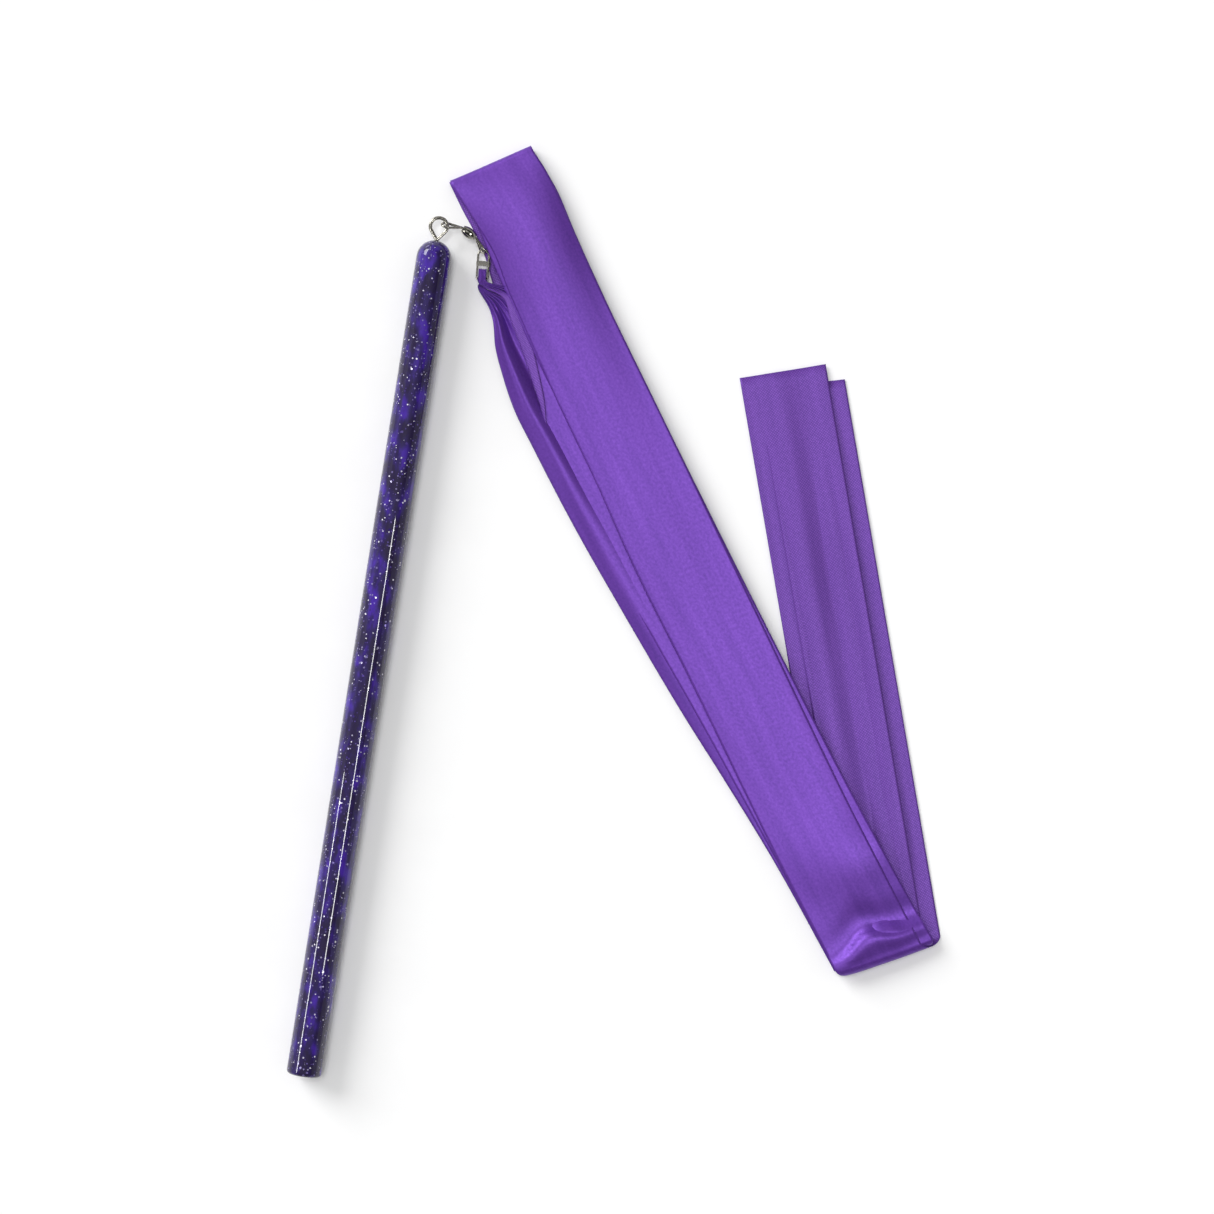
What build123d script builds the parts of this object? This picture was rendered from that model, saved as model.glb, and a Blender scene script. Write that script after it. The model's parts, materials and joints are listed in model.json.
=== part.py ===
from build123d import *
import math
import os

# Rhythmic ribbon wand, laid flat with its ribbon folded beside it. Millimetres.
# Frame: origin at the centre of the rod's butt face, +Y along the rod to the screw eye,
# +Z up from the surface that the wand lies on.

# ---- rod: a half-inch bar, one foot long
ROD_DIAMETER = 12.7
ROD_LENGTH = 306.1          # from the butt face to the top of the half-round tip
BUTT_ROUND = 1.3
TIP_FLAT = 1.2              # radius of the flat that the eye is driven into

# ---- screw eye
EYE_WIRE = 1.35
EYE_RING_RADIUS = 3.07      # to the middle of the wire
EYE_NECK_TO_RING = 5.0      # from where the legs meet to the ring's centre
EYE_NECK_RISE = 0.35        # of that meeting point above the tip
SHANK_DIAMETER = 1.7
SHANK_LENGTH = 14.1         # inside the rod
SHANK_POINT = 0.2
THREAD_DEPTH = 0.3
THREAD_PITCH = 1.0
THREAD_TURNS = 9

# ---- barrel swivel
BARREL_LENGTH = 5.6
BARREL_DIAMETER = 3.8
BARREL_END_DIAMETER = 2.3
BARREL_END_WALL = 0.9
SWIVEL_WIRE = 0.9
SWIVEL_FIT = 0.06           # between a shank and its hole, all round
HEAD_DIAMETER = 1.9
HEAD_THICKNESS = 0.7
HEAD_PLAY = 0.12            # between a head and the wall or chamber round it
UPPER_BEND_RADIUS = 1.9
LOWER_BEND_RADIUS = 1.4
UPPER_ROLL = 60.0           # turn of each wire eye out of the horizontal, degrees
LOWER_ROLL = 65.0
NECK_REACH = 0.4            # from the barrel's end to where an eye's legs meet

# ---- snap: one bent wire, a sheet guard and the sprung arm
SNAP_WIRE = 0.8
SNAP_HALF_WIDTH = 2.0       # to the middle of the wire
SNAP_CORNER = 0.9
SNAP_ROLL = -10.0
GUARD_START = 4.1           # from the top of the snap
GUARD_LENGTH = 1.7
GUARD_SHEET = 0.3
ARM_TIP = 5.0               # from the top of the snap to the arm's tip
ARM_GAP = 0.05              # between the arm and the guard's sheet, and behind its pivot

# ---- ribbon: one length doubled over the snap, so each layer is two plies
RIBBON_WIDTH = 32.0
LAYER = 0.8
LAYER_GAP = 0.8
BAND_RUN = 317.0            # from the top fold to the bottom fold
CLIP_TO_TOP = 33.5
BAND_ANGLE = -54.9          # heading of the folded band in plan, degrees from +X
BAND_LEFT = 4.5             # left edge of the band, across from the clip
BULGE = 14.0                # how far the run from the clip bows out past that edge
RAMP_START = 90.0           # from the clip to where the lowest run climbs over the arm
RAMP_RUN = 50.0
SNAP_CLEAR = 4.0            # room left beside the snap by the top run
TOP_RUN_STEP = 1.5
ARM_RUN = 213.0
ARM_FAN = 16.3              # turn between the band and the side arm
PLY_STEP_ACROSS = 8.0       # how far the arm's lower ply lies beside the upper one
PLY_STEP_ALONG = 12.5
BUNCH_WIDTH = 2.2
BUNCH_THICKNESS = 1.0
BUNCH_FIT = 0.15
BUNCH_TAIL = 1.4            # past the bow's bottom wire, before the pleats open
PLEAT_RUN = 26.0            # length over which the pleats open
PLEAT_LEFT = -7.0
PLEAT_RIGHT = 12.0

# ---- how the chain lies: places in plan from the ring's centre, and heights
UPPER_EYE_END = (1.0, 0.8)
BARREL_CENTRE = (11.0, -0.5)
LOWER_EYE_END = (17.5, -6.7)
SNAP_TOP = (17.4, -5.6)
SNAP_BOTTOM = (18.3, -16.4)
BARREL_ANGLE = -27.0        # heading of the barrel in plan
UPPER_EYE_RISE = 0.3        # of the upper eye's far end above the rod's axis
BARREL_RISE = 1.1           # of the barrel above the snap
LOWER_EYE_RISE = 0.1        # of the lower eye's far end above the snap

# ---- worked out
rod_radius = ROD_DIAMETER / 2
table = -rod_radius
pitch = LAYER + LAYER_GAP
stack_fold = (3 * pitch + LAYER) / 2
clip_height = table + 2 * pitch + LAYER / 2
ring_centre = Vector(0, ROD_LENGTH + EYE_NECK_RISE + EYE_NECK_TO_RING, 0)


def from_ring(plan, height):
    """A point given in plan from the ring's centre, at its own height."""
    return Vector(ring_centre.X + plan[0], ring_centre.Y + plan[1], height)


def heading(angle):
    return Vector(math.cos(math.radians(angle)), math.sin(math.radians(angle)), 0)


def frame_along(origin, direction, roll):
    """A plane with x along direction and y turned up from the horizontal by roll."""
    direction = direction.normalized()
    level = Vector(0, 0, 1).cross(direction).normalized()
    side = level.rotate(Axis((0, 0, 0), tuple(direction)), roll)
    return Plane(origin=origin, x_dir=direction, z_dir=direction.cross(side))


upper_end = from_ring(UPPER_EYE_END, UPPER_EYE_RISE)
barrel_centre = from_ring(BARREL_CENTRE, clip_height + BARREL_RISE)
lower_end = from_ring(LOWER_EYE_END, clip_height + LOWER_EYE_RISE)
snap_top = from_ring(SNAP_TOP, clip_height)
snap_bottom = from_ring(SNAP_BOTTOM, clip_height)
snap_length = (snap_bottom - snap_top).length
arm_wire = SNAP_WIRE - 2 * ARM_GAP
chain_fall = (lower_end.Z - upper_end.Z) / (lower_end - upper_end).length
spin_axis = (heading(BARREL_ANGLE) + Vector(0, 0, chain_fall)).normalized()
barrel_place = frame_along(barrel_centre, spin_axis, 0)
snap_place = frame_along(snap_top, snap_bottom - snap_top, SNAP_ROLL)
arm_pivot = snap_length - SNAP_CORNER - arm_wire / 2 - ARM_GAP
arm_side = -SNAP_HALF_WIDTH
band_origin = (snap_bottom.X, snap_bottom.Y, table)
band_place = Plane(origin=band_origin, x_dir=heading(BAND_ANGLE), z_dir=(0, 0, 1))
half_fan = math.radians(ARM_FAN / 2)


def rod_blank():
    """A round bar turned about +Y: square butt, straight grip, half-round tip with a small flat."""
    grip_end = ROD_LENGTH - math.sqrt(rod_radius ** 2 - TIP_FLAT ** 2)
    shoulder = rod_radius * math.sqrt(0.5)
    outline = Wire([
        Line((0, 0), (rod_radius - BUTT_ROUND, 0)),
        CenterArc((rod_radius - BUTT_ROUND, BUTT_ROUND), BUTT_ROUND, -90, 90),
        Line((rod_radius, BUTT_ROUND), (rod_radius, grip_end)),
        ThreePointArc((rod_radius, grip_end), (shoulder, grip_end + shoulder), (TIP_FLAT, ROD_LENGTH)),
        Line((TIP_FLAT, ROD_LENGTH), (0, ROD_LENGTH)),
        Line((0, ROD_LENGTH), (0, 0)),
    ])
    return revolve(make_face(outline), Axis.Y, 360)


def wire_loop(place, neck_to_centre, bend_radius, wire):
    """A pear-shaped wire eye in place's xy: legs from the origin, tangent to a round far end."""
    half = math.asin(bend_radius / neck_to_centre)
    leg = math.sqrt(neck_to_centre ** 2 - bend_radius ** 2)
    opening = math.degrees(half)
    bend = CenterArc((neck_to_centre, 0), bend_radius, 90 + opening, -180 - 2 * opening)
    start = Plane(origin=bend @ 0, z_dir=bend % 0)
    loop = sweep(start * Circle(wire / 2), path=bend) + Sphere(wire / 2)
    for side in (1, -1):
        foot = Plane(origin=(0, 0, 0), z_dir=(math.cos(half), side * math.sin(half), 0))
        loop += extrude(foot * Circle(wire / 2), leg)
    return place * loop


def screw_eye():
    """A bent wire ring with a ridged, pointed shank that is driven into the rod's end."""
    neck = ring_centre - Vector(0, EYE_NECK_TO_RING, 0)
    ring_place = Plane(origin=neck, x_dir=(0, 1, 0), z_dir=(0, 0, 1))
    screw = wire_loop(ring_place, EYE_NECK_TO_RING, EYE_RING_RADIUS, EYE_WIRE)
    radius = SHANK_DIAMETER / 2
    bottom = ROD_LENGTH - SHANK_LENGTH
    shank = Plane(origin=(0, bottom, 0), z_dir=(0, 1, 0))
    screw += extrude(shank * Circle(radius), neck.Y - bottom)
    down = (Align.CENTER, Align.CENTER, Align.MAX)
    up = (Align.CENTER, Align.CENTER, Align.MIN)
    screw += shank * Cone(SHANK_POINT, radius, SHANK_DIAMETER, align=down)
    flank = Cone(radius + THREAD_DEPTH, radius, THREAD_DEPTH, align=up)
    ridge = flank + mirror(flank, Plane.XY)
    for turn in range(THREAD_TURNS):
        screw += shank * Pos(0, 0, (turn + 0.5) * THREAD_PITCH) * ridge
    return screw


def swivel_barrel():
    """A hollow turned barrel with a hole for a wire shank in each end."""
    half = BARREL_LENGTH / 2
    end = BARREL_END_DIAMETER / 2
    chamber = BARREL_LENGTH - 2 * BARREL_END_WALL
    outline = Wire([
        ThreePointArc((-half, end), (0, BARREL_DIAMETER / 2), (half, end)),
        Line((half, end), (half, 0)),
        Line((half, 0), (-half, 0)),
        Line((-half, 0), (-half, end)),
    ])
    barrel = revolve(make_face(outline), Axis.X, 360)
    turned = Rot(0, 90, 0)
    barrel -= turned * Cylinder(SWIVEL_WIRE / 2 + SWIVEL_FIT, BARREL_LENGTH)
    barrel -= turned * Cylinder(HEAD_DIAMETER / 2 + HEAD_PLAY, chamber)
    return barrel_place * barrel


def swivel_eye(far_end, bend_radius, roll, end):
    """A wire eye, its straight shank through the barrel's end, and the head that holds it in."""
    outward = spin_axis * end
    neck_out = BARREL_LENGTH / 2 + NECK_REACH
    neck = barrel_centre + outward * neck_out
    wire_eye = wire_loop(
        frame_along(neck, far_end - neck, roll),
        (far_end - neck).length - bend_radius, bend_radius, SWIVEL_WIRE,
    )
    head_out = BARREL_LENGTH / 2 - BARREL_END_WALL - HEAD_PLAY - HEAD_THICKNESS
    shank = Plane(origin=barrel_centre + outward * head_out, z_dir=outward)
    wire_eye += extrude(shank * Circle(SWIVEL_WIRE / 2), neck_out - head_out)
    wire_eye += extrude(shank * Circle(HEAD_DIAMETER / 2), HEAD_THICKNESS)
    return wire_eye


def snap_wire():
    """One bent wire: the small loop round the swivel eye, the spine, and the ribbon's bow."""
    side = SNAP_HALF_WIDTH
    corner = SNAP_CORNER
    bow = snap_length - corner
    wire_end = ARM_TIP - arm_wire
    path = Wire([
        Line((wire_end, -side), (side, -side)),
        CenterArc((side, 0), side, 270, -180),
        Line((side, side), (bow, side)),
        CenterArc((bow, side - corner), corner, 90, -90),
        Line((snap_length, side - corner), (snap_length, corner - side)),
        CenterArc((bow, corner - side), corner, 0, -90),
    ])
    start = Plane(origin=(wire_end, -side, 0), z_dir=(-1, 0, 0))
    return snap_place * sweep(start * Circle(SNAP_WIRE / 2), path=path)


def snap_guard():
    """A strip of sheet folded round the spine, open on the side where the arm springs out."""
    inner = SNAP_WIRE / 2
    outer = inner + GUARD_SHEET
    spine = SNAP_HALF_WIDTH
    from_left = (Align.MIN, Align.CENTER)
    strip = Pos(spine, 0) * Circle(outer)
    strip += Pos(-spine - inner, 0) * Rectangle(2 * spine + inner, 2 * outer, align=from_left)
    hollow = Pos(spine, 0) * Circle(inner)
    hollow += Pos(-spine - 2 * inner, 0) * Rectangle(2 * spine + 2 * inner, 2 * inner, align=from_left)
    section = Plane(origin=(GUARD_START, 0, 0), x_dir=(0, 1, 0), z_dir=(1, 0, 0))
    return snap_place * extrude(section * (strip - hollow), GUARD_LENGTH)


def snap_arm():
    """The free leg of the bow, round-ended, pivoting where it springs from the bow."""
    radius = arm_wire / 2
    tip = ARM_TIP + radius
    leg = Plane(origin=(tip, arm_side, 0), z_dir=(1, 0, 0))
    arm = extrude(leg * Circle(radius), arm_pivot - tip)
    for end in (tip, arm_pivot):
        arm += Pos(end, arm_side, 0) * Sphere(radius)
    return snap_place * arm


def flat_layer(points, level, thickness=LAYER):
    """A flat layer of ribbon: an outline in band coordinates, extruded up from its level."""
    return band_place * Pos(0, 0, level) * extrude(make_face(Polyline(points, close=True)), thickness)


def bottom_line(across):
    """Distance along the band of the bottom fold's axis, which is tilted by half the fan."""
    return BAND_RUN - CLIP_TO_TOP - stack_fold + math.tan(half_fan) * across


def lowest_run(outline, left, right, top):
    """The run under the snap: down on the table by the clip, stepping up over the side arm."""
    ramp_end = RAMP_START + RAMP_RUN
    profile = Polyline(
        (top, 0), (RAMP_START, 0), (ramp_end, pitch), (BAND_RUN, pitch), (BAND_RUN, pitch + LAYER),
        (ramp_end, pitch + LAYER), (RAMP_START, LAYER), (top, LAYER), close=True,
    )
    side = Plane(origin=(0, right, 0), x_dir=(1, 0, 0), z_dir=(0, -1, 0))
    slab = extrude(side * make_face(profile), right - left)
    return band_place * (slab & extrude(make_face(Polyline(outline, close=True)), pitch + LAYER))


def fold(start, end, low_layer, high_layer, outward):
    """A half tube that joins two layers along a fold line."""
    outer = ((high_layer - low_layer) * pitch + LAYER) / 2
    run = Vector(end[0] - start[0], end[1] - start[1], 0)
    section = Plane(origin=(*start, low_layer * pitch + outer), x_dir=outward, z_dir=run)
    half = Circle(outer) - Circle(outer - LAYER)
    half &= Rectangle(2 * outer, 2 * outer, align=(Align.MIN, Align.CENTER))
    return band_place * extrude(section * half, run.length)


def arm_ply(across, along):
    """The outline of one ply of the side arm, from the bottom fold up to its cut end."""
    fan = math.radians(ARM_FAN)
    out = Vector(-math.cos(fan), math.sin(fan))
    side = Vector(math.sin(fan), math.cos(fan))
    left = Vector(bottom_line(BAND_LEFT), BAND_LEFT)
    feet, tops = [], []
    for offset in (across, across + RIBBON_WIDTH):
        start = left + side * offset
        short = (bottom_line(start.Y) - start.X) / (math.cos(fan) + math.sin(fan) * math.tan(half_fan))
        foot = start - out * short
        top = start + out * (ARM_RUN - along)
        feet.append((foot.X, foot.Y))
        tops.append((top.X, top.Y))
    return [feet[0], tops[0], tops[1], feet[1]]


def gathered_neck():
    """The bunched ribbon: a loop round the bow's bottom wire, then pleats opening out."""
    inner = SNAP_WIRE / 2 + BUNCH_FIT
    outer = inner + BUNCH_THICKNESS
    bar = Plane(origin=(snap_length, -BUNCH_WIDTH / 2, 0), x_dir=(1, 0, 0), z_dir=(0, 1, 0))
    turn = Circle(outer) + Rectangle(BUNCH_TAIL, 2 * outer, align=(Align.MIN, Align.CENTER))
    neck = snap_place * extrude(bar * (turn - Circle(inner)), BUNCH_WIDTH)
    tail_end = Plane(
        origin=snap_place.from_local_coords((snap_length + BUNCH_TAIL, 0, 0)),
        x_dir=snap_place.y_dir, z_dir=snap_place.x_dir,
    )
    mouth_middle = (PLEAT_RUN, (PLEAT_LEFT + PLEAT_RIGHT) / 2, 2 * pitch + LAYER / 2)
    mouth = band_place * Plane(origin=mouth_middle, x_dir=(0, 1, 0), z_dir=(1, 0, 0))
    neck += loft([
        tail_end * Rectangle(BUNCH_WIDTH, 2 * outer),
        mouth * Rectangle(PLEAT_RIGHT - PLEAT_LEFT, LAYER),
    ])
    return neck


def bowed_run(left, right):
    """The run from the clip, bowed out to the left and easing back under the top run."""
    bow = [(0.16, 1.0), (0.3, 0.9), (0.5, 0.6), (0.75, 0.15)]
    left_side = [(BAND_RUN * run, left - BULGE * out) for run, out in bow]
    right_side = [(x, y + right - left) for x, y in reversed(left_side[1:])]
    ends = [(bottom_line(left), left), (bottom_line(right), right)]
    outline = [(PLEAT_RUN, PLEAT_LEFT), *left_side, *ends, *right_side, (PLEAT_RUN, PLEAT_RIGHT)]
    return flat_layer(outline, 2 * pitch)


def ribbon():
    """The ribbon as it lies folded: gathered neck, three stacked runs, and the side arm below."""
    left, right = BAND_LEFT, BAND_LEFT + RIBBON_WIDTH
    top = stack_fold - CLIP_TO_TOP
    foot = [(bottom_line(left), left), (bottom_line(right), right)]
    body = gathered_neck() + bowed_run(left, right)
    body += lowest_run([(top, left), *foot, (top, right)], left, right, top)
    beside_snap = [(-SNAP_CLEAR, left + SNAP_CLEAR), (PLEAT_RUN, left + TOP_RUN_STEP), (BAND_RUN / 5, left)]
    body += flat_layer([(top, left), *beside_snap, *foot, (top, right)], 3 * pitch)
    body += fold((top, left), (top, right), 0, 3, (-1, 0, 0))
    outward = (math.cos(half_fan), -math.sin(half_fan), 0)
    body += fold(*foot, 1, 2, outward)
    body += fold(*foot, 0, 3, outward)
    body += flat_layer(arm_ply(0, 0), LAYER / 2, LAYER / 2)
    body += flat_layer(arm_ply(PLY_STEP_ACROSS, PLY_STEP_ALONG), 0, LAYER / 2)
    return body


driven_eye = screw_eye()
parts = {
    "rod": rod_blank() - driven_eye,
    "screw_eye": driven_eye,
    "swivel_upper_eye": swivel_eye(upper_end, UPPER_BEND_RADIUS, UPPER_ROLL, -1),
    "swivel_barrel": swivel_barrel(),
    "swivel_lower_eye": swivel_eye(lower_end, LOWER_BEND_RADIUS, LOWER_ROLL, 1),
    "snap_wire": snap_wire(),
    "snap_guard": snap_guard(),
    "snap_arm": snap_arm(),
    "ribbon": ribbon(),
}
os.makedirs("parts", exist_ok=True)
for name, shape in parts.items():
    export_step(shape, f"parts/{name}.step")
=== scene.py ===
import bpy
import json
import math
import numpy as np
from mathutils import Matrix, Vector


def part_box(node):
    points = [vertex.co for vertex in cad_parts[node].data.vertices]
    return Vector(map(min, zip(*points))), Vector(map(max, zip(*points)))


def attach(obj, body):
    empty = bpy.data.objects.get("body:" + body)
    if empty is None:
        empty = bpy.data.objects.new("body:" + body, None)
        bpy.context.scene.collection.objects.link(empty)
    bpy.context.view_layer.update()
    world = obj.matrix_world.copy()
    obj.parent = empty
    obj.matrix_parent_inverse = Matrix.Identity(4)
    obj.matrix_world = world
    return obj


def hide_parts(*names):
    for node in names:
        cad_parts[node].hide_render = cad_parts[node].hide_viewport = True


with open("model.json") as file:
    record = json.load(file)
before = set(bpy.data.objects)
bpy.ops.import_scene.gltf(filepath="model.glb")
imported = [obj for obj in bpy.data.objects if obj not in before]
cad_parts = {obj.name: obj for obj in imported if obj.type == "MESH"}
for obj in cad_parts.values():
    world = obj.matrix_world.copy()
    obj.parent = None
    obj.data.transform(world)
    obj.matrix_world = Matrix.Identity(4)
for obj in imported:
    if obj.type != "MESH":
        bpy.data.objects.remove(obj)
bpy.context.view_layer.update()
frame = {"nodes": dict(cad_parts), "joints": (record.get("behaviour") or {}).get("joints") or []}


# ---------------------------------------------------------------- rod
# A half-inch bar of dark violet acrylic with glitter cast into it, turned and polished.
# The bar looks blue-violet where light gets into it and nearly black elsewhere; that glow is painted into
# its colour as random clouds of lighter violet.
# The glitter is silver and lilac foil in two finenesses, at all depths under the clear skin.

MM = 0.001


def finish_named(name):
    """A new material with its node tree, and its one Principled shader."""
    material = bpy.data.materials.new(name)
    material.use_nodes = True
    tree = material.node_tree
    return material, tree, tree.nodes["Principled BSDF"]


def add(tree, kind, settings=None, **inputs):
    """Adds a node, sets its properties, and sets or links its inputs, by name or as i0, i1 and so on."""
    node = tree.nodes.new(kind)
    for key, value in (settings or {}).items():
        setattr(node, key, value)
    for key, value in inputs.items():
        numbered = key[0] == "i" and key[1:].isdigit()
        socket = node.inputs[int(key[1:])] if numbered else node.inputs[key]
        if isinstance(value, bpy.types.NodeSocket):
            tree.links.new(value, socket)
        else:
            socket.default_value = value
    return node


def link(tree, shader, **inputs):
    """Links node outputs to the shader's sockets; an underscore stands for a space."""
    for key, value in inputs.items():
        tree.links.new(value, shader.inputs[key.replace("_", " ")])


def ramp(tree, fac, stops):
    """A colour ramp over fac, with stops of (place, colour)."""
    node = add(tree, "ShaderNodeValToRGB", i0=fac)
    elements = node.color_ramp.elements
    while len(elements) < len(stops):
        elements.new(0.5)
    for element, (place, colour) in zip(elements, stops):
        element.position = place
        element.color = (*colour, 1)
    return node.outputs["Color"]


def object_space(tree, scale, turn=(0, 0, 0)):
    """Object coordinates scaled to one unit per feature."""
    place = add(tree, "ShaderNodeTexCoord").outputs["Object"]
    mapping = add(tree, "ShaderNodeMapping", Vector=place, Rotation=turn, Scale=scale)
    return mapping.outputs["Vector"]


def noise(tree, place, detail=2.0):
    """Soft random blotches, about one to each unit of the place's coordinates."""
    return add(tree, "ShaderNodeTexNoise", Vector=place, Scale=1.0, Detail=detail).outputs["Fac"]


def paint(node, material):
    """Puts one material on every slot of a CAD node."""
    slots = frame["nodes"][node].data.materials
    for place in range(len(slots)):
        slots[place] = material


DEEP_VIOLET = (0.0095, 0.0014, 0.0420)
# painted glow: the two lighter violets stand in for light getting into the bar
PAINTED_GLOW_VIOLET = (0.0150, 0.0030, 0.0950)
PAINTED_LIT_VIOLET = (0.042, 0.006, 0.290)
PAINTED_GLOW_CLOUDS_PER_METRE = (260, 115, 260)
DEEP_FOIL = (0.030, 0.010, 0.16)
LILAC_FOIL = (0.085, 0.055, 0.26)
DULL_FOIL = (0.24, 0.21, 0.38)
SILVER_FOIL = (0.85, 0.82, 0.92)


def flakes(tree, spacing, share, size):
    """Where one fineness of foil shows, what it looks like there, and which way it leans."""
    cells = add(tree, "ShaderNodeTexVoronoi", Vector=object_space(tree, (1 / spacing,) * 3), Scale=1.0)
    chance = add(tree, "ShaderNodeSeparateColor", Color=cells.outputs["Color"])
    chosen = add(tree, "ShaderNodeMath", {"operation": "LESS_THAN"}, i0=chance.outputs["Red"], i1=share)
    reach = add(tree, "ShaderNodeMapRange", i0=chance.outputs["Blue"], i3=size * 0.6, i4=size * 1.3)
    inside = add(
        tree, "ShaderNodeMath", {"operation": "LESS_THAN"},
        i0=cells.outputs["Distance"], i1=reach.outputs[0],
    )
    shown = add(
        tree, "ShaderNodeMath", {"operation": "MULTIPLY"}, i0=chosen.outputs[0], i1=inside.outputs[0],
    )
    foil = ramp(
        tree, chance.outputs["Green"],
        [(0.0, DEEP_FOIL), (0.4, LILAC_FOIL), (0.7, DULL_FOIL), (1.0, SILVER_FOIL)],
    )
    return shown.outputs[0], foil, cells.outputs["Color"]


acrylic, tree, skin = finish_named("glitter_acrylic")
# near-black with random clouds of painted glow in lighter violet
body_colour_and_painted_glow = ramp(
    tree, noise(tree, object_space(tree, PAINTED_GLOW_CLOUDS_PER_METRE), 5.0),
    [(0.42, DEEP_VIOLET), (0.54, PAINTED_GLOW_VIOLET), (0.68, PAINTED_LIT_VIOLET)],
)
coarse, coarse_foil, coarse_lean = flakes(tree, spacing=1.25 * MM, share=0.27, size=0.28)
fine, fine_foil, _ = flakes(tree, spacing=0.80 * MM, share=0.30, size=0.32)
with_fine = add(tree, "ShaderNodeMix", {"data_type": "RGBA"}, i0=fine, i6=body_colour_and_painted_glow, i7=fine_foil)
with_foil = add(
    tree, "ShaderNodeMix", {"data_type": "RGBA"}, i0=coarse, i6=with_fine.outputs[2], i7=coarse_foil,
)
tilt = add(tree, "ShaderNodeVectorMath", {"operation": "SUBTRACT"}, i0=coarse_lean, i1=(0.5, 0.5, 0.5))
strength = add(tree, "ShaderNodeMath", {"operation": "MULTIPLY"}, i0=coarse, i1=0.9)
lean = add(
    tree, "ShaderNodeVectorMath", {"operation": "SCALE"}, i0=tilt.outputs[0], Scale=strength.outputs[0],
)
surface = add(tree, "ShaderNodeNewGeometry")
leaned = add(tree, "ShaderNodeVectorMath", i0=surface.outputs["Normal"], i1=lean.outputs[0])
normal = add(tree, "ShaderNodeVectorMath", {"operation": "NORMALIZE"}, i0=leaned.outputs[0])
rough = add(tree, "ShaderNodeMapRange", i0=coarse, i3=0.5, i4=0.25)
shine = add(tree, "ShaderNodeMapRange", i0=coarse, i3=0.0, i4=0.3)
link(
    tree, skin, Base_Color=with_foil.outputs[2], Roughness=rough.outputs[0], Metallic=shine.outputs[0],
    Normal=normal.outputs[0],
)
skin.inputs["Specular IOR Level"].default_value = 0.2
skin.inputs["Coat Weight"].default_value = 1.0
skin.inputs["Coat Roughness"].default_value = 0.02
skin.inputs["Coat IOR"].default_value = 1.5
paint("rod", acrylic)


# ---------------------------------------------------------------- screw eye, swivel and snap
# Steel wire bent cold and plated with bright nickel; the barrel is turned and plated too.
# Handling leaves hair scratches, and the plating is a little duller in patches.

BLOTCHES_PER_METRE = (900, 900, 900)
SCRATCHES_PER_METRE = (9000, 1500, 6000)
SCRATCH_TURN = (0.4, 0.2, 0.6)
DULL_SHARE = 0.62           # of the plating's colour, in its dull patches


def plated(name, colour, roughness):
    """Bright nickel: a metal with dull patches and fine scratches."""
    material, tree, metal = finish_named(name)
    blotches = noise(tree, object_space(tree, BLOTCHES_PER_METRE), 3.0)
    dull = tuple(channel * DULL_SHARE for channel in colour)
    tint = ramp(tree, blotches, [(0.30, dull), (0.62, colour)])
    scratches = noise(tree, object_space(tree, SCRATCHES_PER_METRE, SCRATCH_TURN))
    relief = add(tree, "ShaderNodeBump", Strength=0.12, Distance=0.02 * MM, Height=scratches)
    rough = add(tree, "ShaderNodeMapRange", i0=blotches, i3=roughness * 1.5, i4=roughness * 0.7)
    link(tree, metal, Base_Color=tint, Roughness=rough.outputs[0], Normal=relief.outputs[0])
    metal.inputs["Metallic"].default_value = 1.0
    return material


wire_plating = plated("bright_nickel_wire", (0.54, 0.52, 0.46), 0.17)
barrel_plating = plated("bright_nickel_barrel", (0.56, 0.54, 0.48), 0.13)
sheet_plating = plated("bright_nickel_sheet", (0.58, 0.56, 0.51), 0.20)
for node in ("screw_eye", "swivel_upper_eye", "swivel_lower_eye", "snap_wire", "snap_arm"):
    paint(node, wire_plating)
paint("swivel_barrel", barrel_plating)
paint("snap_guard", sheet_plating)


# ---------------------------------------------------------------- ribbon
# One length of single-face satin, doubled over the snap and gathered there, so it has two tails.
# Each tail runs down, folds under, runs up, folds over, runs down on top, rolls under and fans out.
# Places are in millimetres along the folded band, across it and above the table, from the point
# on the bottom wire of the snap's bow that the ribbon tips about.

RIBBON_WIDTH = 32.0
CLOTH = 0.22
COLUMNS = 41
BAND_HEADING = math.radians(-54.9)
HALF_FAN = math.radians(8.15)   # half the angle between the band and the side arm
BOTTOM_AXIS = 280.7             # where the bottom fold's axis crosses the line from the clip
TOP_AXIS = -34.9                # the same for the top fold
TOP_SLANT = 0.045               # how much the top fold's axis leans, for each step across
BAND_MARGIN = 5.0               # about where the band's left margin lies, across from the clip
SNAP_RUN = (0.9, -10.8)         # which way the snap runs to its bow in plan: right, and down the rod
across = np.linspace(0, 1, COLUMNS)

# the rod lies on the table, a radius below its axis; its box is exact sideways, where facets meet it
table_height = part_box("rod")[0].x / MM
ribbon_tip = next(joint for joint in frame["joints"] if joint["name"] == "ribbon_tip")
clip_x, clip_y, clip_z = (place / MM for place in ribbon_tip["pos_m"])
clip_height = clip_z - table_height
snap_heading = math.atan2(*SNAP_RUN[::-1])
snap_forward = snap_heading - BAND_HEADING


def through(*points):
    """A smooth curve through a few points, as a function of their first number."""
    x, y = np.array(points, float).T
    slope = np.gradient(y, x)

    def value(at):
        at = np.clip(at, x[0], x[-1])
        i = np.clip(np.searchsorted(x, at, side="right") - 1, 0, len(x) - 2)
        step = x[i + 1] - x[i]
        s = (at - x[i]) / step
        return (
            (1 + 2 * s) * (1 - s) ** 2 * y[i] + s * (1 - s) ** 2 * step * slope[i]
            + s * s * (3 - 2 * s) * y[i + 1] - s * s * (1 - s) * step * slope[i + 1]
        )

    return value


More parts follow.
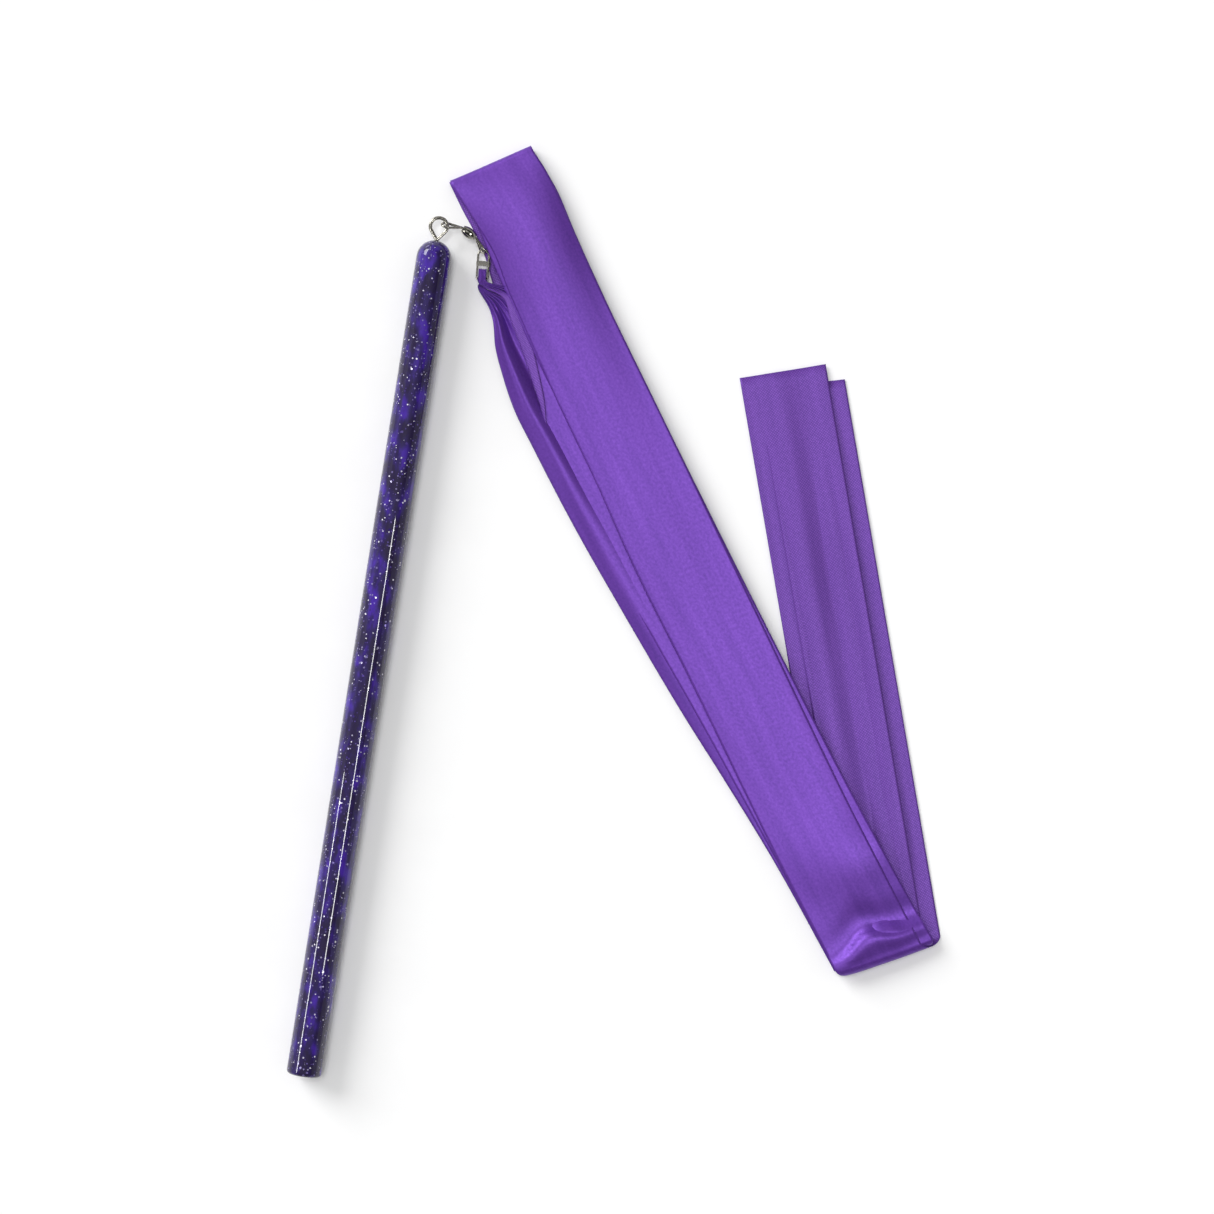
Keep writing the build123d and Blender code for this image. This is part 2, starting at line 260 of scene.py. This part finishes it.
def ease(x):
    """A smooth step from 0 to 1."""
    x = np.clip(x, 0, 1)
    return x * x * (3 - 2 * x)


def hump(x, width):
    """A smooth rise and fall round x = 0."""
    return np.exp(-(x / width) ** 2)


def bottom_axis(side):
    return BOTTOM_AXIS + math.tan(HALF_FAN) * side


def top_axis(side):
    return TOP_AXIS + TOP_SLANT * (side - BAND_MARGIN)


def along_run(edges, height, starts, ends, steps):
    """Rows of a run between two fold lines. edges gives a row's places across from its place along."""
    rows = []
    for part in steps:
        side = edges(starts(0.0) + part * (ends(0.0) - starts(0.0)))
        for _ in range(3):
            along = starts(side) + part * (ends(side) - starts(side))
            side = edges(float(along.mean()))
        rows.append(np.stack([along, side, height(along, across)], axis=1))
    return rows


def round_fold(last, next_height, outward, steps, drift=0.0):
    """Rows half way round a fold, from the last row of one run to the height of the next."""
    heading = np.array([math.cos(HALF_FAN), -math.sin(HALF_FAN)]) if outward > 0 else np.array([-1.0, 0.0])
    axis = np.array([-heading[1], heading[0]]) * outward
    start = last[:, 2]
    middle = (start + next_height) / 2
    radius = np.abs(start - next_height) / 2
    rows = []
    for k in range(1, steps):
        angle = math.pi * k / steps
        out = (radius * math.sin(angle))[:, None] * heading
        plan = last[:, :2] + out + drift * ease(k / steps) * axis
        rows.append(np.column_stack([plan, middle + (start - middle) * math.cos(angle)]))
    return rows


# the run from the clip: gathered in pleats that open out, with the upper ply's margin turned over
CLIP_RUN_START = 1.5
UPPER_CLIP_HEIGHT = 3.85
LOWER_CLIP_HEIGHT = 3.4
UPPER_LEFT = through(
    (1.5, -1.1), (4, 1.4), (8, 4.4), (12, 4.2), (17, 3.1), (25, 2.3), (34, 1.2), (43, -0.1), (51, -1.2),
    (62, -3.5), (81, -3.4), (96, -2.7), (120, -2.4), (136, -1.8), (176, 0.6), (235, 3.4), (285, 5.4),
)
LOWER_LEFT = through(
    (1.5, -1.2), (8, -1.9), (15, -2.9), (24, -6.3), (34, -8.4), (48, -10.2), (62, -10.1), (92, -9.4),
    (133, -6.9), (176, -3.5), (201, -0.8), (235, 2.4), (285, 4.9),
)
UPPER_RIGHT = through(
    (1.5, 2.0), (4, 7), (12, 13), (30, 20), (60, 26), (90, 28.6), (176, 32.6), (285, 37.4),
)
LOWER_RIGHT = through(
    (1.5, 1.2), (5, 3), (14, 7), (30, 13), (60, 20.5), (90, 22.6), (176, 28.5), (285, 36.9),
)
TURNED_MARGIN = through(
    (1.5, 2), (8, 7.5), (25, 7.0), (37, 5.0), (48, 3.2), (56, 1.4), (62, 0.0), (70, 0.0),
)
TURNED_END = 62
PLEATING = through((1.5, 0.42), (4, 0.7), (9, 0.6), (16, 0.25), (25, 0.05), (34, 0.0), (60, 0.0))
PLEATS = 6
LOBE = through(
    (1.5, 0.0), (8, 0.5), (20, 1.7), (35, 2.3), (55, 2.0), (90, 1.1), (150, 0.5), (235, 0.1), (285, 0.0),
)
LOBE_DROOP = through(
    (1.5, 0.0), (15, 0.8), (35, 1.9), (60, 2.2), (130, 1.6), (200, 0.8), (235, 0.2), (285, 0.0),
)
DROOP_SHARE = 0.6
VALLEY_DEPTH = 1.3
VALLEY_END = 110


def upper_clip_run(along):
    """Across places and heights of the upper ply's row, turned over at its left margin near the clip."""
    flap = TURNED_MARGIN(along)
    from_fold = across * RIBBON_WIDTH - flap
    soft = 0.35 * ease(flap / 1.5)
    reach = np.sqrt(from_fold ** 2 + soft ** 2) - soft
    squeeze = (UPPER_RIGHT(along) - UPPER_LEFT(along)) / (RIBBON_WIDTH - flap)
    side = UPPER_LEFT(along) + reach * min(squeeze, 1.0)
    lift = 0.45 * ease(flap / 1.5) * (0.5 - 0.5 * np.tanh(from_fold / 0.45))
    wave = PLEATING(along) * np.cos(2 * math.pi * PLEATS * across + 0.6) * ease(from_fold / 3)
    return side, UPPER_CLIP_HEIGHT + lift + wave + 0.5 * ease((TURNED_END - along) / 50)


def lower_clip_run(along):
    """Across places and heights of the lower ply's row, which bows out in a rounded lobe."""
    side = LOWER_LEFT(along) + (LOWER_RIGHT(along) - LOWER_LEFT(along)) * across
    crest = hump(across - 0.19, 0.12) * LOBE(along)
    droop = DROOP_SHARE * LOBE_DROOP(along) * np.exp(-across / 0.07)
    wave = PLEATING(along) * np.cos(2 * math.pi * PLEATS * across)
    valley = VALLEY_DEPTH * hump(across - 0.40, 0.12) * ease((VALLEY_END - along) / 60) * ease(along / 15)
    return side, LOWER_CLIP_HEIGHT + crest - droop + wave - valley


def clip_rows(shape, end_height):
    """The run from the clip to the bottom fold, with its rows closest where it is pleated."""
    rows = []
    for part in np.concatenate([np.linspace(0, 0.34, 66)[:-1], np.linspace(0.34, 1, 56)]):
        along = CLIP_RUN_START + part * (bottom_axis(BAND_MARGIN) - CLIP_RUN_START)
        side, height = shape(along)
        slant = ease((part - 0.55) / 0.45)
        place = along + slant * (bottom_axis(side) - bottom_axis(BAND_MARGIN))
        settle = ease((part - 0.8) / 0.2)
        rows.append(np.column_stack([place, side, height * (1 - settle) + end_height * settle]))
    return rows


def ripple(along, q, size, seed):
    """Long shallow waves of three lengths, as folded satin keeps."""
    return size * (
        np.sin(along / 23.0 + 2.1 * q + seed) * 0.5 + np.sin(along / 9.7 - 3.4 * q + 2.3 * seed) * 0.22
        + np.sin(along / 41.0 + 5.2 * q * q - seed) * 0.6
    )


LOW_LEFT = through(
    (-37, 4.9), (-26, 4.8), (-12, 5.2), (-4, 4.4), (4, 2.8), (20, 3.6), (40, 4.2), (150, 4.2), (285, 5.3),
)
ARM_STEP = 1.6              # how far the run climbs to clear the side arm under it
ARM_STEP_START = 85
ARM_STEP_LENGTH = 55


def lowest_rows(offset, level, seed):
    """The run under the snap: on the table at the top, climbing over the side arm further down."""

    def edges(along):
        return LOW_LEFT(along) + offset + RIBBON_WIDTH * across

    def height(along, q):
        step_up = ARM_STEP * ease((along - ARM_STEP_START) / ARM_STEP_LENGTH)
        off_folds = ease((along + 30) / 40) * ease((278 - along) / 30)
        return level + step_up + ripple(along, q, 0.12, seed) * off_folds

    return along_run(edges, height, bottom_axis, top_axis, np.linspace(0, 1, 84))


TOP_LEFT = through(
    (-38, 5.3), (-33, 5.5), (-26, 6.3), (-16, 7.3), (-6, 8.1), (8, 6.9), (20, 6.4), (36, 5.8), (52, 5.2),
    (88, 4.8), (118, 3.7), (165, 4.1), (238, 4.1), (285, 5.2),
)
TOP_RIGHT = through(
    (-38, 37.9), (-30, 38.7), (-10, 38.0), (10, 37.3), (70, 37.0), (150, 36.6), (240, 36.3), (285, 37.4),
)
UNDER_RIGHT = through(
    (-38, 38.1), (-27, 39.0), (-15, 39.0), (-4, 38.3), (20, 37.5), (70, 37.3), (156, 37.9), (200, 38.6),
    (240, 39.8), (265, 41.0), (285, 42.3),
)
UNDER_WIDTH = RIBBON_WIDTH - 0.3
CAMBER = through(
    (-38, -1.0), (-30, 0.7), (-20, 1.7), (-6, 2.0), (20, 1.3), (60, 0.7), (150, 0.6), (230, 0.7),
    (270, 0.4), (290, 0.6),
)
ROLL_RISE = 3.2
CREASE_WIDTH = 4.5
SWELL = 2.4
DIP = 1.3


def top_rows(level, seed, upper):
    """The run on top: cambered, with a swell, a crease and then a ridge before the roll."""

    def edges(along):
        if upper:
            return TOP_LEFT(along) + (TOP_RIGHT(along) - TOP_LEFT(along)) * across
        return UNDER_RIGHT(along) - RIBBON_WIDTH + UNDER_WIDTH * across

    def height(along, q):
        camber = CAMBER(along) * (1 - (2 * q - 1) ** 2)
        to_fold = bottom_axis(20) - along
        ridge = 2.8 + 4.6 * hump(q - 0.5, 0.25)
        crease = ridge + CREASE_WIDTH
        swell = SWELL * hump(to_fold - 36, 14) * ease(0.2 + 0.8 * q)
        dip = -DIP * hump(to_fold - crease - 2, 6) * ease(0.4 + q)
        over_ridge = 1 - 0.7 * ease((ridge - to_fold) / (ridge + 1.5))
        climb = ease((crease - to_fold) / CREASE_WIDTH) * over_ridge
        rise = ROLL_RISE * (0.55 + 0.45 * np.sin(math.pi * q)) * climb
        off_folds = ease((along + 32) / 30) * ease((270 - along) / 25)
        waves = ripple(along, q, 0.32 if upper else 0.15, seed) * off_folds
        return level + camber + swell + dip + rise * (1.0 if upper else 0.75) + waves

    steps = np.concatenate([np.linspace(0, 0.9, 84)[:-1], np.linspace(0.9, 1, 24)])
    return along_run(edges, height, top_axis, bottom_axis, steps)


ARM_WAVE = 1.25
ARM_SPRING = 2.2            # how far the arm's left margin stands up beside the roll


def arm_rows(last, level, length, skew, seed):
    """The side arm: from under the roll out to the cut end, lying on the table."""
    out = np.array([-math.cos(2 * HALF_FAN), math.sin(2 * HALF_FAN)])
    far = length + skew * (across - 0.5)
    bands = np.sin(math.pi * (0.15 + 1.7 * across) + seed) ** 2
    rows = []
    for part in np.linspace(0, 1, 66)[1:]:
        plan = last[:, :2] + (far * part)[:, None] * out
        lift = ARM_WAVE * bands * ease(part / 0.2) * ease((1.25 - part) / 0.6)
        spring = ARM_SPRING * (1 - across) * ease(part / 0.04) * ease((0.26 - part) / 0.2)
        wave = ripple(plan[:, 0], across, 0.18, seed) * ease(part / 0.2)
        rows.append(np.column_stack([plan, level + lift + spring + np.maximum(wave, -0.1)]))
    return rows


def carried_on(rows, last, count):
    """A run's rows, with the first of them eased across from where the fold before it ends."""
    shift = last[:, 1] - rows[0][:, 1]
    for k, row in enumerate(rows):
        row[:, 1] += shift * (1 - ease(k / count))
    return rows


def tail(clip_shape, clip_end, low, top, upper, drift, arm):
    """All the rows of one tail, from the clip to its cut end.

    low is its offset, level and seed; top its level and seed; arm its level, length and skew.
    """
    rows = clip_rows(clip_shape, clip_end)
    low_run = lowest_rows(*low)
    rows += round_fold(rows[-1], low_run[0][:, 2], outward=1, steps=7)
    rows += carried_on(low_run, rows[-1], 12)
    top_level, seed = top
    top_run = top_rows(top_level, seed, upper)
    rows += round_fold(rows[-1], top_run[0][:, 2], outward=-1, steps=9)
    rows += carried_on(top_run, rows[-1], 5)
    arm_level, arm_length, skew = arm
    rows += round_fold(rows[-1], arm_level, outward=1, steps=16, drift=drift)
    end = rows[-1].copy()
    end[:, 2] = arm_level
    rows += arm_rows(end, arm_level, arm_length, skew, seed)
    return rows


upper_tail = tail(
    upper_clip_run, clip_end=3.8, low=(0.5, 0.25, 0.4), top=(5.25, 1.0), upper=True, drift=8.0,
    arm=(0.24, 209.2, -7.0),
)
lower_tail = tail(
    lower_clip_run, clip_end=3.35, low=(0.0, 0.65, 1.3), top=(4.8, 2.2), upper=False, drift=-2.8,
    arm=(0.74, 215.5, -4.9),
)

# the gather: both tails bunched to a few millimetres, and looped round the bow's bottom wire
BUNCH_WIDTH = 2.7
LOOP_RADIUS = 1.05
LOOP_REACH = 3.7
HALF_TWIST_ROWS = 7
LOOP_STEPS = 10
snap_out = np.array([math.cos(snap_forward), math.sin(snap_forward), 0.0])
snap_across = np.array([-snap_out[1], snap_out[0], 0.0])
upward = np.array([0.0, 0.0, 1.0])
wire_middle = np.array([0.0, 0.0, clip_height])


def bunched(place, side, face, pleat, width=BUNCH_WIDTH):
    """A pleated row of the bunch, at a place, with its side and face directions."""
    wave = pleat * np.cos(2 * math.pi * PLEATS * across)
    spread_out = (across - 0.5) * width
    return place + spread_out[:, None] * side + wave[:, None] * face


def blended(rows, first_rows, count):
    """Eases the first rows of a tail in from the bunch."""
    for k in range(count):
        mix = ease((k + 1) / (count + 1))
        rows[k] = first_rows(k) * (1 - mix) + rows[k] * mix
    return rows


def upper_bunch(k):
    place = wire_middle + upward * (LOOP_RADIUS + 0.1) + snap_out * (0.2 + 0.9 * k)
    return bunched(place, snap_across, upward, 0.4, BUNCH_WIDTH * (1.15 + 0.12 * k))


def lower_bunch(k):
    place = wire_middle - upward * (LOOP_RADIUS - 0.05 * k) + snap_out * (2.6 + 0.9 * k)
    return bunched(place, snap_across, upward, 0.36)


upper_tail = blended(upper_tail, upper_bunch, 7)
lower_tail = blended(lower_tail, lower_bunch, 6)

loop = []
for k in range(HALF_TWIST_ROWS):
    turn = math.pi * (1 - k / HALF_TWIST_ROWS)
    side = snap_across * math.cos(turn) + upward * math.sin(turn)
    place = wire_middle - upward * LOOP_RADIUS + snap_out * (2.3 - 0.33 * k)
    loop.append(bunched(place, side, np.cross(-snap_out, side), 0.32))
for k in range(LOOP_STEPS + 1):
    angle = -math.pi / 2 - math.pi * k / LOOP_STEPS
    radial = snap_out * math.cos(angle) + upward * math.sin(angle)
    place = wire_middle + snap_out * math.cos(angle) * LOOP_REACH + upward * math.sin(angle) * LOOP_RADIUS
    loop.append(bunched(place, snap_across, radial, 0.32))

rows = np.array([row[::-1] for row in reversed(lower_tail)] + loop + upper_tail)
step = np.linalg.norm(np.diff(rows[:, COLUMNS // 2], axis=0), axis=1)
run_length = np.concatenate([[0.0], np.cumsum(step)])
ribbon_length = float(run_length[-1])
cos_band, sin_band = math.cos(BAND_HEADING), math.sin(BAND_HEADING)
points = np.stack([
    clip_x + rows[..., 0] * cos_band - rows[..., 1] * sin_band,
    clip_y + rows[..., 0] * sin_band + rows[..., 1] * cos_band,
    table_height + rows[..., 2],
], axis=-1).reshape(-1, 3) * MM
corner = np.arange(len(rows) - 1)[:, None] * COLUMNS + np.arange(COLUMNS - 1)[None, :]
faces = np.stack([corner, corner + COLUMNS, corner + COLUMNS + 1, corner + 1], axis=-1).reshape(-1, 4)
cloth = bpy.data.meshes.new("ribbon_cloth")
cloth.from_pydata(points.tolist(), [], faces.tolist())
layout = cloth.uv_layers.new(name="cloth")
on_cloth = np.stack([
    np.tile(across, len(rows)), np.repeat(run_length / ribbon_length, COLUMNS),
], axis=1)
layout.data.foreach_set("uv", on_cloth[faces.ravel()].ravel().astype(np.float32))
for polygon in cloth.polygons:
    polygon.use_smooth = True
ribbon = bpy.data.objects.new("satin_ribbon", cloth)
bpy.context.scene.collection.objects.link(ribbon)


def cloth_space(tree, across_size, along_size):
    """The ribbon's own coordinates, one unit to each feature of these sizes in millimetres."""
    place = add(tree, "ShaderNodeUVMap", {"uv_map": "cloth"}).outputs["UV"]
    scale = (RIBBON_WIDTH / across_size, ribbon_length / along_size, 1)
    return add(tree, "ShaderNodeMapping", Vector=place, Scale=scale).outputs["Vector"]


def twill(tree, across_size, along_size):
    """One set of slanting ribs in the weave. A size across that is below zero slants them the other way."""
    return add(
        tree, "ShaderNodeTexWave", {"wave_profile": "SIN", "bands_direction": "DIAGONAL"},
        Vector=cloth_space(tree, across_size, along_size), Scale=1.0, Distortion=0.6,
    ).outputs["Fac"]


RIB_SIZE = 2.2              # of the weave's slanting ribs, in threads


def satin(name, shadow, middle, light, roughness, gloss, thread, weave):
    """Woven satin: dyed colour that varies a little along the cloth, fine threads, and a soft sheen."""
    material, tree, shader = finish_named(name)
    streaks = noise(tree, cloth_space(tree, 3.5, 60.0), 3.0)
    grain = noise(tree, cloth_space(tree, 0.9, 1.1), 3.0)
    rib = thread * RIB_SIZE
    dots = add(
        tree, "ShaderNodeMath", {"operation": "MULTIPLY"},
        i0=twill(tree, rib, rib), i1=twill(tree, -rib, rib),
    )
    blotched = add(tree, "ShaderNodeMix", {"data_type": "FLOAT"}, i0=0.5, i2=streaks, i3=grain)
    woven = add(
        tree, "ShaderNodeMix", {"data_type": "FLOAT"}, i0=weave, i2=blotched.outputs[0], i3=dots.outputs[0],
    )
    dye = ramp(tree, woven.outputs[0], [(0.25, shadow), (0.5, middle), (0.75, light)])
    relief = add(tree, "ShaderNodeBump", Strength=0.3, Distance=0.05 * MM, Height=woven.outputs[0])
    rough = add(tree, "ShaderNodeMapRange", i0=grain, i3=roughness * 1.15, i4=roughness * 0.85)
    link(tree, shader, Base_Color=dye, Normal=relief.outputs[0], Roughness=rough.outputs[0])
    shader.inputs["Metallic"].default_value = gloss
    shader.inputs["Sheen Weight"].default_value = 0.15
    shader.inputs["Sheen Roughness"].default_value = 0.45
    shader.inputs["Sheen Tint"].default_value = (0.62, 0.42, 1.0, 1)
    return material


face = satin(
    "satin_face", (0.080, 0.021, 0.25), (0.122, 0.034, 0.34), (0.166, 0.053, 0.43),
    roughness=0.46, gloss=0.50, thread=0.45, weave=0.10,
)
back = satin(
    "satin_back", (0.090, 0.026, 0.25), (0.150, 0.048, 0.37), (0.23, 0.085, 0.50),
    roughness=0.55, gloss=0.40, thread=0.75, weave=0.45,
)
# painted shade: the cloth's edges, cut ends and selvedges, get a darker, dull copy of the satin
cut_edge_painted_shade = satin(
    "satin_cut_edge", (0.045, 0.012, 0.16), (0.06, 0.018, 0.20), (0.08, 0.025, 0.25),
    roughness=0.7, gloss=0.0, thread=0.5, weave=0.5,
)
for material in (face, back, cut_edge_painted_shade):
    cloth.materials.append(material)
bpy.ops.object.select_all(action="DESELECT")
bpy.context.view_layer.objects.active = ribbon
ribbon.select_set(True)
thicken = ribbon.modifiers.new("cloth_thickness", "SOLIDIFY")
thicken.thickness = CLOTH * MM
thicken.offset = 0.0
thicken.material_offset = 1
# the rim takes the darker edge material, which is painted shade
thicken.material_offset_rim = 2
bpy.ops.object.modifier_apply(modifier=thicken.name)
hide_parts("ribbon")
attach(ribbon, "ribbon")


# ---------------------------------------------------------------- table, lights and camera
# A white table in a pale room, with a soft light from overhead and another from the upper left.
# Two strip lamps draw the bright lines in the rod's polish, a black card that only reflections see
# darkens the rest of it, and the camera looks straight down.

FRAME_SIZE = 440 * MM
MIDDLE = Vector((0.0819, 0.1848, 0.0))
LENS = 100.0
SENSOR = 36.0
ROLL = math.radians(9.06)
CARD_HEIGHT = 1.5


def grey(value):
    return (value, value, value)


bpy.ops.object.select_all(action="DESELECT")
bpy.ops.mesh.primitive_plane_add(size=6.0, location=(MIDDLE.x, MIDDLE.y, table_height * MM))
table = bpy.context.active_object
table.name = "table"
white, tree, top = finish_named("white_table")
mottle = noise(tree, object_space(tree, (40,) * 3))
link(tree, top, Base_Color=ramp(tree, mottle, [(0.3, grey(0.90)), (0.7, grey(0.92))]))
top.inputs["Roughness"].default_value = 0.9
top.inputs["Specular IOR Level"].default_value = 0.0
table.data.materials.append(white)


def soft_lamp(name, place, size, power, aim):
    """A rectangular soft lamp at a place, turned to face its aim."""
    lamp = bpy.data.lights.new(name, "AREA")
    lamp.shape = "RECTANGLE"
    lamp.size, lamp.size_y = size
    lamp.energy = power
    holder = bpy.data.objects.new(name, lamp)
    bpy.context.scene.collection.objects.link(holder)
    holder.location = place
    holder.rotation_euler = (Vector(aim) - Vector(place)).to_track_quat("-Z", "Y").to_euler()
    return holder


def broad_light(name, direction, strength, spread):
    """A distant light from a direction; the spread softens its shadows."""
    light = bpy.data.lights.new(name, "SUN")
    light.energy = strength
    light.angle = math.radians(spread)
    holder = bpy.data.objects.new(name, light)
    bpy.context.scene.collection.objects.link(holder)
    holder.rotation_euler = Vector(direction).to_track_quat("Z", "Y").to_euler()


broad_light("overhead_light", (-0.10, 0.10, 1.0), strength=1.15, spread=24)
broad_light("window_light", (-0.82, 0.52, 0.54), strength=2.5, spread=34)

strips = [
    soft_lamp("near_strip_lamp", (-0.73, -0.08, 0.70), size=(0.26, 0.08), power=1.5, aim=(0, -0.08, 0)),
    soft_lamp("far_strip_lamp", (0.39, 0.07, 0.90), size=(0.30, 0.08), power=1.8, aim=(0, 0.07, 0)),
]
for strip in strips:
    strip.visible_diffuse = False

bpy.ops.object.select_all(action="DESELECT")
bpy.ops.mesh.primitive_plane_add(size=4.0, location=(MIDDLE.x, MIDDLE.y, CARD_HEIGHT))
card = bpy.context.active_object
card.name = "black_card"
black, tree, cloth_black = finish_named("black_cloth")
nap = noise(tree, object_space(tree, (20,) * 3))
link(tree, cloth_black, Base_Color=ramp(tree, nap, [(0.3, grey(0.010)), (0.7, grey(0.014))]))
cloth_black.inputs["Roughness"].default_value = 1.0
card.data.materials.append(black)
card.visible_camera = False
card.visible_diffuse = False
card.visible_shadow = False

room = bpy.data.worlds.new("pale_room")
room.use_nodes = True
room.node_tree.nodes["Background"].inputs["Color"].default_value = (1, 1, 1, 1)
room.node_tree.nodes["Background"].inputs["Strength"].default_value = 0.38
bpy.context.scene.world = room
bpy.context.scene.view_settings.view_transform = "Standard"

lens = bpy.data.cameras.new("top_camera")
lens.lens = LENS
lens.sensor_width = SENSOR
camera = bpy.data.objects.new("top_camera", lens)
bpy.context.scene.collection.objects.link(camera)
camera.location = MIDDLE + Vector((0, 0, FRAME_SIZE * LENS / SENSOR))
camera.rotation_euler = (0, 0, ROLL)
bpy.context.scene.camera = camera

bpy.context.view_layer.update()
